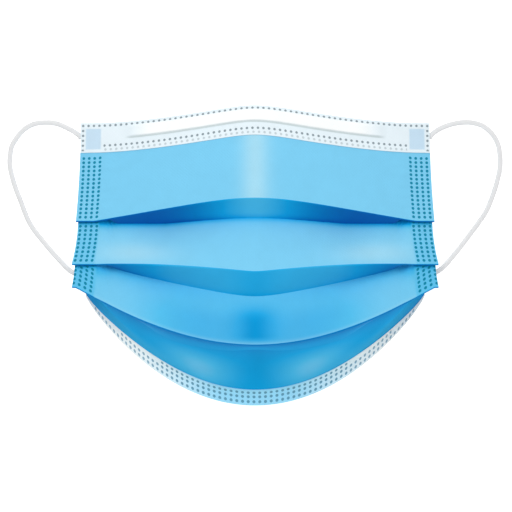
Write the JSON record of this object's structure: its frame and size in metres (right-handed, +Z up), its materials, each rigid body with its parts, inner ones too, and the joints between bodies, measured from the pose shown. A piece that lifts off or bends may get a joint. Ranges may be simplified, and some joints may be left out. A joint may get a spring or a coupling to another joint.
{
  "type": "disposable face mask",
  "caption": "Disposable pleated face mask of blue nonwoven cloth, opened into a dome and lying face up, with white nose and chin strips and elastic ear loops.",
  "frame": {"origin": "on the surface that the mask lies on, under the middle of the mask's outline without its ear loops", "axes": "+Y from the chin edge to the nose edge, +Z up out of the front of the mask, +X across it, to the right as the front is seen"},
  "size_m": [0.2102, 0.1269, 0.0434],
  "materials": {
    "blue_cloth": "matt spunbond nonwoven, light blue outside and white inside",
    "white_cloth": "matt white spunbond nonwoven with rows of weld dots",
    "coated_wire": "white plastic coating over soft wire",
    "elastic": "knitted round elastic, off white"
  },
  "bodies": {
    "root": {"pleated_body": "blue_cloth", "nose_band": "white_cloth", "chin_band": "white_cloth", "nose_wire": "coated_wire", "ear_loop_left": "elastic", "ear_loop_right": "elastic", "loop_tab_top_left": "elastic", "loop_tab_top_right": "elastic", "loop_tab_bottom_left": "elastic", "loop_tab_bottom_right": "elastic"}
  },
  "joints": []
}
